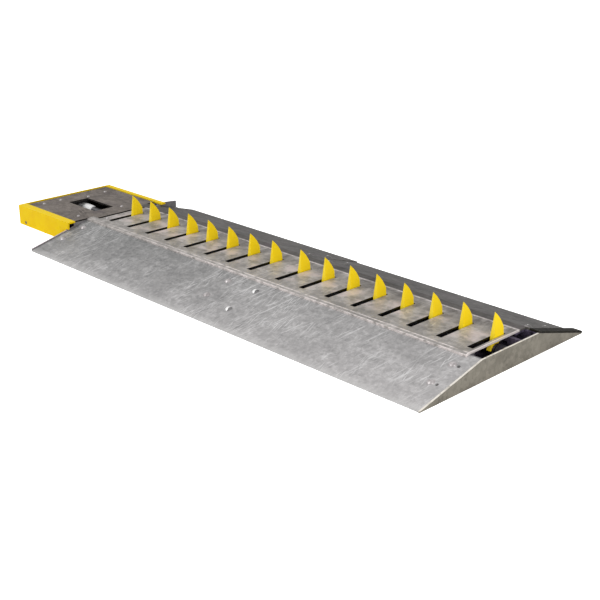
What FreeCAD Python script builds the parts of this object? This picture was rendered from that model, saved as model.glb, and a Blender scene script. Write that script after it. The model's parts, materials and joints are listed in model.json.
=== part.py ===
"""Surface-mounted tyre spike strip: two slotted deck sections with eight folding spikes each,
ramps on both sides and a low drive box at the left end.

Millimetres. X runs along the strip, traffic that is let through drives towards -Y, Z is up.
The origin is the middle of the footprint, on the road surface.
"""
import FreeCAD, Part
import math
import os

from FreeCAD import Vector

# Overall layout
section_length = 914.0
box_length = 332.0
front_run = 260.0
deck_width = 264.0
back_run = 232.0
second_back_ramp_cut = 9.0
frame_height = 68.0
toe_height = 3.0

# Plates
deck_thickness = 6.0
ramp_thickness = 6.0
end_plate_thickness = 6.0
rail_thickness = 6.0
rib_thickness = 6.0
base_thickness = 8.0
front_rail_flange = 26.0
back_rail_flange = 48.0
back_rail_setback = 2.0
seam_gap = 1.0
infill_left_gap = 13.0
infill_toe_height = 8.0
face_gap = 0.3

# Deck plates
deck_lip = 13.0
deck_left_margin = 38.0
deck_screw_inset = 18.0
deck_screw_setback = 40.0
deck_right_margin = 46.0
deck_seam_shift = 12.0
front_margin = 18.0
back_flange_width = 31.0

# Spikes, with the shoulder and bulge of the back edge as shares of their width and rise
spikes_per_section = 8
spike_pitch = 110.0
first_spike_offsets = (88.0, 77.0)
spike_thickness = 15.0
spike_tip_thickness = 1.5
spike_rise = 74.5
spike_width = 44.0
spike_front_setback = 10.0
spike_front_lean = 6.0
spike_tip_flat = 1.0
spike_shoulder = (0.0, 0.30)
spike_bulge = (0.32, 0.65)
spike_foot_ahead = 25.0
spike_foot_lift = 3.0
slot_side_clearance = 3.0
slot_end_clearance = 6.0
slot_front_clearance = 4.0
slot_corner = 3.0

# Spike shaft
shaft_setback = 142.0
shaft_depth = 33.0
shaft_radius = 12.5
keyed_clearance = 0.02
weld_clearance = 0.1
running_clearance = 0.08
thread_clearance = 0.05
hub_radius = 20.0
hub_length = 28.0
bush_wall = 2.5
bearing_radius = 21.0
bearing_length = 20.0
bearing_foot_half = 38.0
bearing_foot_height = 10.0
bearing_to_spike = 28.0
bearing_bolt_spread = 30.5
shaft_joint_shift = 10.5
coupling_length = 48.0
coupling_radius = 20.0
collar_radius = 20.0
collar_length = 8.0
shaft_end_gap = 8.0
drive_hub_radius = 18.0
drive_hub_length = 88.0
drive_hub_offset = 61.0
drive_hub_rounds = (3.0, 14.0)
box_bearing_offsets = (40.0, 306.0)

# Return springs
spring_wire = 1.5
spring_radius = 17.2
spring_turn_pitch = 6.0
spring_tang = 6.0
spring_side_gap = 1.0

# Stop bars
stop_gap = 0.3
stop_pad_thickness = 4.0
stop_pad_height = 10.0
stop_pad_width = 14.0
stop_bar_depth = 12.0
stop_bar_height = 14.0
stop_bar_drop = 8.0
heel_overhang = 1.5

# Ramp bolts and anchor holes, measured from the left end of each section
front_bolt_offsets = ((36.0, 853.0), (71.0, 857.0))
front_bolt_setbacks = (((113.0, 204.0), (113.0, 204.0)), ((91.0, 204.0), (113.0, 204.0)))
back_bolt_offsets = ((38.0, 879.0), (67.0, 863.0))
back_bolt_setbacks = (113.0, 204.0)
ramp_head_radius = 12.0
ramp_head_height = 6.5
ramp_bolt_radius = 5.0
hole_clearance = 0.3
strip_width = 28.0
strip_thickness = 6.0
strip_overrun = 26.0
nut_radius = 9.0
nut_height = 8.0
open_hole_radius = 5.5
open_hole_offset = 20.0

# Road anchor holes in the base plates, set in from the deck's front and back edges
anchor_radius = 7.0
anchor_setbacks = (43.0, 31.0)

# Drive box, its front and back measured outwards from the deck's edges
box_front_reach = 104.0
box_back_reach = 60.0
box_proud = 2.0
box_plate = 6.0
box_flanges = (32.0, 20.0)
cover_thickness = 6.0
cover_left_gap = 9.0
cover_front_gap = 4.0
cover_back_gap = 5.0
opening_left_offset = 101.0
opening_length = 175.0
opening_ahead = 82.0
opening_depth = 88.0
floor_flange_height = 25.0
support_middles = (68.0, 292.0)
support_widths = (64.0, 32.0)
support_web = 9.0
support_tab = 24.0
flange_reaches = (9.0, 45.0)
front_tail_lift = 6.5
left_plate_toe_setback = 4.0
left_plate_proud = 5.0
left_plate_slope_setback = 27.0
left_plate_back_setback = 84.0
left_plate_back_drop = 11.0
left_plate_bore = 20.0
cover_bolt_offsets = (
    (53.0, 83.0), (52.0, 159.0), (87.0, 266.0), (76.0, 355.0), (288.0, 83.0), (295.0, 278.0),
)
tongue_reach = 24.0
cover_head_radius = 6.5
cover_head_height = 4.0
cover_bolt_radius = 4.0
side_bolt_radius = 4.0
side_head_radius = 6.5
side_head_height = 2.0
side_bolt_sunk = 1.5
side_bolt_offset = 43.0
small_bolt_radius = 4.0
small_head_radius = 7.0
small_head_height = 5.0

# Positions that follow from the sizes above
total_length = box_length + 2.0 * section_length
x_box_left = -total_length / 2.0
x_strip_left = x_box_left + box_length
x_seam = x_strip_left + section_length
x_right = x_seam + section_length
y_front = -(front_run + deck_width + back_run) / 2.0
y_deck_front = y_front + front_run
y_deck_back = y_deck_front + deck_width
y_back = y_deck_back + back_run
deck_top = frame_height + deck_thickness
y_deck_edge = y_deck_back - back_flange_width
shaft_y = y_deck_front + shaft_setback
shaft_z = frame_height - shaft_depth
box_front_y = y_deck_front - box_front_reach
box_back_y = y_deck_back + box_back_reach
box_height = deck_top + box_proud
opening_front_y = shaft_y - opening_ahead
anchor_rows = (y_deck_front + anchor_setbacks[0], y_deck_back - anchor_setbacks[1])
stop_bar_middle = frame_height - stop_bar_drop
section_left = (x_strip_left, x_seam)
section_right = (x_seam - seam_gap / 2.0, x_right - end_plate_thickness)
section_start = (x_strip_left, x_seam + seam_gap / 2.0)
deck_left = (x_strip_left + deck_left_margin, x_seam + deck_seam_shift + seam_gap / 2.0)
deck_right = (x_seam + deck_seam_shift - seam_gap / 2.0, x_right - deck_right_margin)
spike_front_y = shaft_y - spike_front_setback
spike_back_y = spike_front_y + spike_width
spike_tip_z = deck_top + spike_rise
front_angle = math.atan2(frame_height - toe_height, front_run)
x_shaft_joint = x_seam + shaft_joint_shift
x_shaft_right = x_right - end_plate_thickness - shaft_end_gap
x_shaft_left = x_box_left + box_bearing_offsets[0] - bearing_length / 2.0 - collar_length - 4.0
bush_radius = shaft_radius + bush_wall
bore_radius = shaft_radius + keyed_clearance
slot_half = spike_thickness / 2.0 + slot_side_clearance
spike_reach = math.sqrt((spike_tip_z - shaft_z) ** 2 - (frame_height - shaft_z) ** 2)
slot_front_y = shaft_y - spike_reach - slot_front_clearance
slot_back_y = spike_back_y + slot_end_clearance
stop_face_y = spike_back_y + stop_gap
stop_bar_front_y = stop_face_y + stop_pad_thickness


def spike_middles(section):
    """X of the middle of every spike of one section."""
    first = section_left[section] + first_spike_offsets[section]
    return [first + number * spike_pitch for number in range(spikes_per_section)]


def bearing_middles(section):
    """X of the bearings of one section: outside the end spikes and halfway between them."""
    spikes = spike_middles(section)
    middle = (spikes[0] + spikes[-1]) / 2.0
    return [spikes[0] - bearing_to_spike, middle, spikes[-1] + bearing_to_spike]


def box_bearing_middles():
    return [x_box_left + offset for offset in box_bearing_offsets]


def all_bearing_middles():
    return box_bearing_middles() + bearing_middles(0) + bearing_middles(1)


def block(x, y, z):
    """Box between two limits on each axis."""
    size = (x[1] - x[0], y[1] - y[0], z[1] - z[0])
    return Part.makeBox(*size, Vector(x[0], y[0], z[0]))


def profile_along_x(points, x):
    """Closed outline of (y, z) points drawn out between two X limits."""
    outline = [Vector(x[0], y, z) for y, z in points]
    face = Part.Face(Part.makePolygon(outline + outline[:1]))
    return face.extrude(Vector(x[1] - x[0], 0.0, 0.0))


def round_bar(radius, x, y=shaft_y, z=shaft_z):
    """Cylinder along X."""
    return Part.makeCylinder(radius, x[1] - x[0], Vector(x[0], y, z), Vector(1.0, 0.0, 0.0))


def pin(radius, start, direction, length):
    return Part.makeCylinder(radius, length, start, direction)


def fused(shapes):
    whole = shapes[0].multiFuse(shapes[1:]) if len(shapes) > 1 else shapes[0]
    return whole.removeSplitter()


def domed_head(radius, height, place, direction):
    """Round head with a flat underside at place and a spherical top."""
    ball_radius = (radius * radius + height * height) / (2.0 * height)
    centre = place + direction * (height - ball_radius)
    ball = Part.makeSphere(ball_radius, centre)
    return ball.common(pin(radius, place, direction, height + 1.0))


def hexagon(radius, height, place, direction):
    """Hexagonal prism with a corner radius, standing on place."""
    side = Vector(1.0, 0.0, 0.0).cross(direction)
    if side.Length < 0.1:
        side = Vector(0.0, 1.0, 0.0)
    side.normalize()
    other = direction.cross(side)
    corners = []
    for corner in range(7):
        angle = math.radians(60.0 * corner)
        corners.append(place + side * (radius * math.cos(angle)) + other * (radius * math.sin(angle)))
    return Part.Face(Part.makePolygon(corners)).extrude(direction * height)


def hex_bolt(radius, head_radius, head_height, place, direction, length):
    """Bolt with its head standing on place and its shank going the other way."""
    head = hexagon(head_radius, head_height, place, direction)
    return fused([head, pin(radius, place, direction * -1.0, length)])


def front_surface(distance, depth=0.0):
    """(y, z) on the front ramp, a distance behind its toe along Y and a depth under its top face."""
    slope = math.tan(front_angle)
    y = y_front + distance
    z = toe_height + distance * slope
    return y + depth * math.sin(front_angle), z - depth * math.cos(front_angle)


def back_edge(section):
    return y_back - (second_back_ramp_cut if section == 1 else 0.0)


def back_angle(section):
    return math.atan2(deck_top - toe_height, back_edge(section) - y_deck_back)


def back_surface(section, distance, depth=0.0):
    """(y, z) on a back ramp, a distance ahead of its toe along Y and a depth under its top face."""
    angle = back_angle(section)
    y = back_edge(section) - distance
    z = toe_height + distance * math.tan(angle)
    return y - depth * math.sin(angle), z - depth * math.cos(angle)


def front_normal():
    return Vector(0.0, -math.sin(front_angle), math.cos(front_angle))


def back_normal(section):
    angle = back_angle(section)
    return Vector(0.0, math.sin(angle), math.cos(angle))


def front_bolt_places(section):
    """Points on the front ramp's top face where its bolts stand."""
    places = []
    for offset, setbacks in zip(front_bolt_offsets[section], front_bolt_setbacks[section]):
        for setback in setbacks:
            y, z = front_surface(setback)
            places.append(Vector(section_left[section] + offset, y, z))
    return places


def back_bolt_places(section):
    places = []
    for offset in back_bolt_offsets[section]:
        for setback in back_bolt_setbacks:
            y, z = back_surface(section, setback)
            places.append(Vector(section_left[section] + offset, y, z))
    return places


def open_hole_places():
    """Open holes beside the right-hand bolts of the front ramp of the right section."""
    places = []
    for setback in front_bolt_setbacks[1][1]:
        y, z = front_surface(setback)
        x = section_left[1] + front_bolt_offsets[1][1] + open_hole_offset
        places.append(Vector(x, y, z))
    return places


def drilled(shape, places, normal, radius, depth):
    for place in places:
        shape = shape.cut(pin(radius, place + normal * 5.0, normal * -1.0, depth + 5.0))
    return shape


def front_ramp(section):
    """Sloping plate, flush with the end plate, cut upright at its toe and at the rail."""
    inner_rise = ramp_thickness / math.cos(front_angle)
    toe_run = (inner_rise - toe_height) / math.tan(front_angle)
    outline = [
        (y_front, 0.0),
        (y_front, toe_height),
        (y_deck_front, frame_height),
        (y_deck_front, frame_height - inner_rise),
        (y_front + toe_run, 0.0),
    ]
    shape = profile_along_x(outline, (section_start[section], section_right[section]))
    reach = ramp_thickness + 1.0
    hole = ramp_bolt_radius + hole_clearance
    shape = drilled(shape, front_bolt_places(section), front_normal(), hole, reach)
    if section == 1:
        shape = drilled(shape, open_hole_places(), front_normal(), open_hole_radius, reach)
    return shape


def back_slope_right(section):
    """Right edge of a back ramp's slope; the second one ends at the infill plate."""
    return section_right[0] if section == 0 else deck_right[1] + infill_left_gap - seam_gap


def back_ramp(section):
    """Sloping plate with a flange that lies on the back rail beside the deck plate."""
    angle = back_angle(section)
    inner_rise = ramp_thickness / math.cos(angle)
    toe_run = (inner_rise - toe_height) / math.tan(angle)
    inner_bend = back_edge(section) - (frame_height + inner_rise - toe_height) / math.tan(angle)
    outline = [
        (y_deck_edge, frame_height),
        (y_deck_edge, deck_top),
        (y_deck_back, deck_top),
        (back_edge(section), toe_height),
        (back_edge(section), 0.0),
        (back_edge(section) - toe_run, 0.0),
        (inner_bend, frame_height),
    ]
    shape = profile_along_x(outline, (section_start[section], back_slope_right(section)))
    if section == 1:
        beside = (deck_right[1], x_right)
        shape = shape.cut(block(beside, (y_deck_edge - 1.0, y_deck_back), (0.0, deck_top + 1.0)))
    hole = ramp_bolt_radius + hole_clearance
    return drilled(shape, back_bolt_places(section), back_normal(section), hole, ramp_thickness + 1.0)


def infill_underside():
    """(y, z) of the infill plate's underside at its top and at its toe."""
    rise = ramp_thickness / math.cos(math.atan2(deck_top - infill_toe_height, back_run))
    return [(y_deck_back, deck_top - rise), (y_back, infill_toe_height - rise)]


def back_infill():
    """Blunt-toed plate beside the right back ramp that lies on the right end plate."""
    top, toe = infill_underside()
    outline = [top, (y_deck_back, deck_top), (y_back, infill_toe_height), toe]
    return profile_along_x(outline, (deck_right[1] + infill_left_gap, x_right))


def deck_plate(section):
    """Flat plate on the rails with a lip down the front ramp and a slot for every spike."""
    along = Vector(0.0, -math.cos(front_angle), -math.sin(front_angle))
    lip_foot = Vector(0.0, y_deck_front, frame_height) + along * deck_lip
    lip_top = lip_foot + front_normal() * deck_thickness
    outline = [
        (y_deck_front, frame_height),
        (lip_foot.y, lip_foot.z),
        (lip_top.y, lip_top.z),
        (y_deck_front - deck_thickness * math.tan(front_angle / 2.0), deck_top),
        (y_deck_edge - seam_gap, deck_top),
        (y_deck_edge - seam_gap, frame_height),
    ]
    left = x_strip_left if section == 0 else deck_left[section]
    shape = profile_along_x(outline, (left, deck_right[section]))
    if section == 0:
        notch_y = (y_deck_front + front_margin, y_deck_back)
        shape = shape.cut(block((left - 1.0, deck_left[0]), notch_y, (0.0, deck_top + 1.0)))
        hole = cover_bolt_radius + hole_clearance
        shape = drilled(shape, [deck_screw_place()], Vector(0.0, 0.0, 1.0), hole, deck_thickness + 1.0)
    for middle in spike_middles(section):
        slot = block(
            (middle - slot_half, middle + slot_half),
            (slot_front_y, slot_back_y),
            (frame_height - 1.0, deck_top + 1.0),
        )
        upright = [edge for edge in slot.Edges if abs(edge.tangentAt(edge.FirstParameter).z) > 0.9]
        shape = shape.cut(slot.makeFillet(slot_corner, upright))
    return shape


def deck_screw_place():
    """Where the screw at the left end of the deck stands."""
    return Vector(deck_left[0] + deck_screw_inset, y_deck_front + deck_screw_setback, deck_top)


def deck_screw():
    """Domed screw through the deck's left end with a nut below it."""
    up = Vector(0.0, 0.0, 1.0)
    place = deck_screw_place()
    head = domed_head(cover_head_radius, cover_head_height, place, up)
    length = deck_thickness + small_head_height + 2.0
    shank = pin(cover_bolt_radius, place + up * 0.5, up * -1.0, length)
    nut_place = place - up * (deck_thickness + small_head_height)
    nut = hexagon(small_head_radius, small_head_height, nut_place, up)
    return fused([head, shank, nut])


def end_plate():
    """Right end plate: the strip's trapezoid profile, lower under the infill plate."""
    outline = [
        (y_front, 0.0),
        (y_front, toe_height),
        (y_deck_front, frame_height),
        (y_deck_back, frame_height),
        *infill_underside(),
        (y_back, 0.0),
    ]
    return profile_along_x(outline, (x_right - end_plate_thickness, x_right))


def left_end_plate():
    """Upright plate between the box and the strip, a little above the ramp, then up to the cover."""
    toe_y = y_front + left_plate_toe_setback
    toe_z = toe_height + left_plate_proud
    step_y = box_front_y + box_flanges[0]
    step_z = toe_z + (step_y - toe_y) * math.tan(front_angle)
    back_y = y_back - left_plate_back_setback
    outline = [
        (toe_y, 0.0),
        (toe_y, toe_z),
        (step_y, step_z),
        (step_y, frame_height),
        (box_back_y - left_plate_slope_setback, frame_height),
        (back_y, frame_height - left_plate_back_drop),
        (back_y, 0.0),
    ]
    plate = profile_along_x(outline, (x_strip_left - end_plate_thickness, x_strip_left))
    bore = round_bar(left_plate_bore, (x_strip_left - end_plate_thickness - 1.0, x_strip_left + 1.0))
    return plate.cut(bore)


def front_rail(section):
    """Angle under the deck's front edge."""
    outline = [
        (y_deck_front, 0.0),
        (y_deck_front, frame_height),
        (y_deck_front + front_rail_flange, frame_height),
        (y_deck_front + front_rail_flange, frame_height - rail_thickness),
        (y_deck_front + rail_thickness, frame_height - rail_thickness),
        (y_deck_front + rail_thickness, 0.0),
    ]
    shape = profile_along_x(outline, (section_start[section], section_right[section]))
    return trimmed_rail(shape, section, y_deck_front + rail_thickness, y_deck_front + front_rail_flange)


def trimmed_rail(shape, section, first_y, last_y):
    """Rail without its flange where the right section is open beside the end plate."""
    if section == 0:
        return shape
    x = (deck_right[1], x_right)
    return shape.cut(block(x, (first_y, last_y), (frame_height - rail_thickness, frame_height + 1.0)))


def back_rail(section):
    """Angle under the deck's back edge and the flange of the back ramp."""
    outer = y_deck_back - back_rail_setback
    outline = [
        (outer, 0.0),
        (outer, frame_height),
        (outer - back_rail_flange, frame_height),
        (outer - back_rail_flange, frame_height - rail_thickness),
        (outer - rail_thickness, frame_height - rail_thickness),
        (outer - rail_thickness, 0.0),
    ]
    shape = profile_along_x(outline, (section_start[section], section_right[section]))
    inner = outer - rail_thickness
    return trimmed_rail(shape, section, outer - back_rail_flange, inner)


def bearing_bolt_holes(shape, middle):
    for side in (-1.0, 1.0):
        place = Vector(middle, shaft_y + side * bearing_bolt_spread, -1.0)
        hole = pin(small_bolt_radius + hole_clearance, place, Vector(0.0, 0.0, 1.0), frame_height)
        shape = shape.cut(hole)
    return shape


def anchor_places(section):
    """Where the road anchors of one section stand: in front of and behind its end bearings."""
    middles = bearing_middles(section)
    return [Vector(x, y, -1.0) for x in (middles[0], middles[-1]) for y in anchor_rows]


def base_plate(section):
    """Plate on the road between the rails, drilled for the road anchors and the bearings."""
    y = (y_deck_front + rail_thickness, y_deck_back - back_rail_setback - rail_thickness)
    plate = block((section_start[section], section_right[section]), y, (0.0, base_thickness))
    for place in anchor_places(section):
        plate = plate.cut(pin(anchor_radius, place, Vector(0.0, 0.0, 1.0), base_thickness + 2.0))
    for middle in bearing_middles(section):
        plate = bearing_bolt_holes(plate, middle)
    return plate


def front_rib(middle, setbacks=None):
    """Upright web under the front ramp, with a strip for the bolts if it has any."""
    inner_rise = ramp_thickness / math.cos(front_angle)
    toe_run = (inner_rise - toe_height) / math.tan(front_angle)
    web_x = middle + (strip_width / 2.0 - rib_thickness if setbacks else -rib_thickness / 2.0)
    outline = [
        (y_front + toe_run, 0.0),
        (y_deck_front, frame_height - inner_rise),
        (y_deck_front, 0.0),
    ]
    web = profile_along_x(outline, (web_x, web_x + rib_thickness))
    if not setbacks:
        return web
    x = (middle - strip_width / 2.0, middle + strip_width / 2.0)
    near, far = setbacks[0] - strip_overrun, setbacks[1] + strip_overrun
    strip = profile_along_x(
        [
            front_surface(near, ramp_thickness),
            front_surface(far, ramp_thickness),
            front_surface(far, ramp_thickness + strip_thickness),
            front_surface(near, ramp_thickness + strip_thickness),
        ],
        x,
    )
    return fused([web, strip])


def front_ribs():
    ribs = []
    hole = ramp_bolt_radius + hole_clearance
    reach = ramp_thickness + strip_thickness + 1.0
    for section in (0, 1):
        places = front_bolt_places(section)
        for offset, setbacks in zip(front_bolt_offsets[section], front_bolt_setbacks[section]):
            rib = front_rib(section_left[section] + offset, setbacks)
            ribs.append(drilled(rib, places, front_normal(), hole, reach))
        ribs.append(front_rib(bearing_middles(section)[1]))
    return Part.Compound(ribs)


def back_rib(section, middle, bolted):
    """Upright web under a back ramp, with a strip for the ramp bolts where it is bolted."""
    angle = back_angle(section)
    inner_rise = ramp_thickness / math.cos(angle)
    toe_run = (inner_rise - toe_height) / math.tan(angle)
    rail_y = y_deck_back - back_rail_setback
    inner_bend = back_edge(section) - (frame_height + inner_rise - toe_height) / math.tan(angle)
    web_x = middle + (strip_width / 2.0 - rib_thickness if bolted else -rib_thickness / 2.0)
    outline = [
        (rail_y, 0.0),
        (rail_y, frame_height),
        (max(inner_bend, rail_y + 0.01), frame_height),
        (back_edge(section) - toe_run, 0.0),
    ]
    web = profile_along_x(outline, (web_x, web_x + rib_thickness))
    if not bolted:
        return web
    x = (middle - strip_width / 2.0, middle + strip_width / 2.0)
    near, far = back_bolt_setbacks[0] - strip_overrun, back_bolt_setbacks[1] + strip_overrun / 2.0
    strip = profile_along_x(
        [
            back_surface(section, near, ramp_thickness),
            back_surface(section, far, ramp_thickness),
            back_surface(section, far, ramp_thickness + strip_thickness),
            back_surface(section, near, ramp_thickness + strip_thickness),
        ],
        x,
    )
    return fused([web, strip])


def back_ribs():
    ribs = []
    hole = ramp_bolt_radius + hole_clearance
    reach = ramp_thickness + strip_thickness + 1.0
    for section in (0, 1):
        places = back_bolt_places(section)
        for offset in back_bolt_offsets[section]:
            rib = back_rib(section, section_left[section] + offset, True)
            ribs.append(drilled(rib, places, back_normal(section), hole, reach))
        ribs.append(back_rib(section, bearing_middles(section)[1], False))
    return Part.Compound(ribs)


def ramp_bolt(place, normal):
    """Domed bolt through a ramp plate and the strip below it, with its nut."""
    grip = ramp_thickness + strip_thickness
    head = domed_head(ramp_head_radius, ramp_head_height, place, normal)
    shank = pin(ramp_bolt_radius, place + normal * 0.5, normal * -1.0, grip + nut_height + 2.5)
    nut = hexagon(nut_radius, nut_height, place - normal * (grip + nut_height), normal)
    return fused([head, shank, nut])


def ramp_bolts(places_of, normal_of):
    bolts = []
    for section in (0, 1):
        for place in places_of(section):
            bolts.append(ramp_bolt(place, normal_of(section)))
    return Part.Compound(bolts)


def bearing_block(middle):
    """Cast block with a round housing for the bush and a foot with two bolt holes."""
    x = (middle - bearing_length / 2.0, middle + bearing_length / 2.0)
    foot_y = (shaft_y - bearing_foot_half, shaft_y + bearing_foot_half)
    foot = block(x, foot_y, (base_thickness, base_thickness + bearing_foot_height))
    neck_y = (shaft_y - bearing_radius, shaft_y + bearing_radius)
    neck = block(x, neck_y, (base_thickness, shaft_z))
    body = fused([foot, neck, round_bar(bearing_radius, x)])
    return body.cut(round_bar(bush_radius + keyed_clearance, x))


def spring_places():
    """Each return spring: X of its bearing face, X of the hub face and the way between them."""
    places = []
    for section in (0, 1):
        middle = bearing_middles(section)[1]
        spikes = spike_middles(section)
        half = spikes_per_section // 2
        places.append((middle - bearing_length / 2.0, spikes[half - 1] + hub_length / 2.0, -1.0))
        places.append((middle + bearing_length / 2.0, spikes[half] - hub_length / 2.0, 1.0))
    return places


def tang_point(x):
    """Where a spring's end stands: straight below the shaft, on the coil's mean circle."""
    return Vector(x, shaft_y, shaft_z - spring_radius)


def tang_hole(x, way):
    return pin(spring_wire + hole_clearance, tang_point(x), Vector(way, 0.0, 0.0), spring_tang + 1.0)


def bearing_blocks():
    blocks = []
    for middle in all_bearing_middles():
        blocks.append(bearing_bolt_holes(bearing_block(middle), middle))
    springs = [(face, -way) for face, hub, way in spring_places()]
    drilled_blocks = []
    for body in blocks:
        for face, way in springs:
            body = body.cut(tang_hole(face, way))
        drilled_blocks.append(body)
    return Part.Compound(drilled_blocks)


def bearing_bushes():
    bushes = []
    for middle in all_bearing_middles():
        x = (middle - bearing_length / 2.0, middle + bearing_length / 2.0)
        bush = round_bar(bush_radius, x)
        bushes.append(bush.cut(round_bar(shaft_radius + running_clearance, x)))
    return Part.Compound(bushes)


def bearing_bolts():
    bolts = []
    top = base_thickness + bearing_foot_height
    for middle in all_bearing_middles():
        for side in (-1.0, 1.0):
            place = Vector(middle, shaft_y + side * bearing_bolt_spread, top)
            bolt = hex_bolt(
                small_bolt_radius, small_head_radius, small_head_height,
                place, Vector(0.0, 0.0, 1.0), top - 1.0,
            )
            bolts.append(bolt)
    return Part.Compound(bolts)


def coil_arcs(start, length, way):
    """Helix round the shaft as smooth pairs of arcs, one pair to each quarter turn."""
    quarters = 4 * int(length / spring_turn_pitch)
    turn = math.pi / 2.0
    rise = length / quarters / turn
    points = []
    tangents = []
    for step in range(quarters + 1):
        angle = turn * step - turn
        points.append(Vector(
            start + length * step / quarters,
            shaft_y + way * spring_radius * math.cos(angle),
            shaft_z + spring_radius * math.sin(angle),
        ))
        tangent = Vector(rise, -way * spring_radius * math.sin(angle), spring_radius * math.cos(angle))
        tangents.append(tangent.normalize())
    arcs = []
    for number in range(quarters):
        arcs += arc_pair(points[number], tangents[number], points[number + 1], tangents[number + 1])
    return Part.Wire(arcs), tangents[0]


def arc_pair(first, leaving, last, arriving):
    """Two arcs that join two points and keep both tangents."""
    chord = last - first
    both = leaving + arriving
    a = both.dot(both) - 4.0
    b = -2.0 * chord.dot(both)
    c = chord.dot(chord)
    reach = (-b - math.sqrt(b * b - 4.0 * a * c)) / (2.0 * a)
    near = first + leaving * reach
    far = last - arriving * reach
    middle = (near + far) * 0.5
    return [arc_under(first, near, middle), arc_under(middle, far, last)]


def arc_under(first, apex, last):
    """Arc that touches the lines from its ends to the apex."""
    base = (first + last) * 0.5
    rise = apex - base
    half = (last - first).Length / 2.0
    rise = rise * (math.tan(math.atan2(rise.Length, half) / 2.0) * half / rise.Length)
    return Part.Arc(first, base + rise, last).toShape()


def return_spring(bearing_face, hub_face, way):
    """Torsion spring round the shaft with a tang into the bearing block and one into the hub."""
    reach = spring_side_gap + spring_wire
    start = min(bearing_face, hub_face) + reach
    end = max(bearing_face, hub_face) - reach
    path, tangent = coil_arcs(start, end - start, way)
    ring = Part.Circle(tang_point(start), tangent, spring_wire).toShape()
    coil = path.makePipeShell([Part.Wire([ring])], True, False)
    ends = [
        pin(spring_wire, tang_point(start), Vector(-1.0, 0.0, 0.0), reach + spring_tang),
        pin(spring_wire, tang_point(end), Vector(1.0, 0.0, 0.0), reach + spring_tang),
        Part.makeSphere(spring_wire, tang_point(start)),
        Part.makeSphere(spring_wire, tang_point(end)),
    ]
    return coil.multiFuse(ends)


def return_springs(section):
    places = spring_places()[2 * section:2 * section + 2]
    return Part.Compound([return_spring(*place) for place in places])


def spike_shaft(section):
    limits = ((x_shaft_left, x_shaft_joint - face_gap), (x_shaft_joint + face_gap, x_shaft_right))
    return round_bar(shaft_radius, limits[section])


def shaft_coupling():
    x = (x_shaft_joint - coupling_length / 2.0, x_shaft_joint + coupling_length / 2.0)
    sleeve = round_bar(coupling_radius, x).cut(round_bar(bore_radius, x))
    for place in coupling_bolt_places():
        hole = pin(small_bolt_radius + thread_clearance, place, Vector(0.0, -1.0, 0.0), coupling_radius)
        sleeve = sleeve.cut(hole)
    return sleeve


def coupling_bolt_places():
    """Points on the shaft's front surface where the coupling's screws bear."""
    quarter = coupling_length / 4.0
    return [
        Vector(x_shaft_joint + side * quarter, shaft_y - bore_radius, shaft_z) for side in (-1.0, 1.0)
    ]


def coupling_bolts():
    out = Vector(0.0, -1.0, 0.0)
    bolts = []
    for place in coupling_bolt_places():
        length = coupling_radius - bore_radius
        head = hexagon(small_head_radius, small_head_height, place + out * length, out)
        bolts.append(fused([pin(small_bolt_radius, place, out, length + 0.5), head]))
    return Part.Compound(bolts)


def shaft_collars():
    """Rings that keep the shaft from sliding endways, outside the end bearings."""
    gap = face_gap
    right = bearing_middles(1)[2] + bearing_length / 2.0 + gap
    left = box_bearing_middles()[0] - bearing_length / 2.0 - gap - collar_length
    rings = []
    for start in (left, right):
        x = (start, start + collar_length)
        rings.append(round_bar(collar_radius, x).cut(round_bar(bore_radius, x)))
    return Part.Compound(rings)


def is_rim(edge, x):
    """Whether an edge is the circle round a bar's end at X."""
    return isinstance(edge.Curve, Part.Circle) and abs(edge.Curve.Center.x - x) < 0.01


def drive_hub():
    """Bright sleeve on the shaft beside the cover's opening, with a nose rounded towards the strip."""
    start = x_box_left + drive_hub_offset
    x = (start, start + drive_hub_length)
    sleeve = round_bar(drive_hub_radius, x)
    for end, rounding in zip(x, drive_hub_rounds):
        rims = [edge for edge in sleeve.Edges if is_rim(edge, end)]
        sleeve = sleeve.makeFillet(rounding, rims)
    return sleeve.cut(round_bar(bore_radius, x))


def spike_outline():
    """Side view of a spike at X = 0: foot ahead of the hub, leaning front, tip and bulging back."""
    tip_y = spike_front_y + spike_front_lean
    lean = spike_front_lean / spike_rise
    neck_z = frame_height - deck_thickness
    heel_z = stop_bar_middle - stop_pad_height / 2.0 - heel_overhang
    middle = Vector(0.0, shaft_y, shaft_z)
    foot = Vector(0.0, shaft_y - spike_foot_ahead, shaft_z + spike_foot_lift)
    neck = Vector(0.0, spike_front_y - lean * (deck_top - neck_z), neck_z)
    tip = Vector(0.0, tip_y, spike_tip_z - 1.0)
    tip_back = Vector(0.0, tip_y + spike_tip_flat, spike_tip_z - 1.0)
    tip_top = Vector(0.0, tip_y + spike_tip_flat / 2.0, spike_tip_z)
    shoulder, bulge = [
        Vector(0.0, spike_back_y - setback * spike_width, deck_top + height * spike_rise)
        for setback, height in (spike_shoulder, spike_bulge)
    ]
    heel = Vector(0.0, spike_back_y, heel_z)
    edges = [
        Part.makeLine(foot, neck),
        Part.makeLine(neck, tip),
        Part.Arc(tip, tip_top, tip_back).toShape(),
        Part.Arc(tip_back, bulge, shoulder).toShape(),
        Part.makeLine(shoulder, heel),
        Part.makeLine(heel, middle),
        Part.makeLine(middle, foot),
    ]
    return Part.Face(Part.Wire(edges))


def spike_taper(middle):
    """Front view of a spike, drawn out along Y: full thickness up to the deck, then thinner."""
    wide = spike_thickness / 2.0
    thin = spike_tip_thickness / 2.0
    half_view = [(wide, 0.0), (wide, deck_top), (thin, spike_tip_z)]
    sides = half_view + [(-x, z) for x, z in reversed(half_view)]
    outline = [Vector(middle + x, spike_front_y - spike_width, z) for x, z in sides]
    face = Part.Face(Part.makePolygon(outline + outline[:1]))
    return face.extrude(Vector(0.0, 3.0 * spike_width, 0.0))


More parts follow.
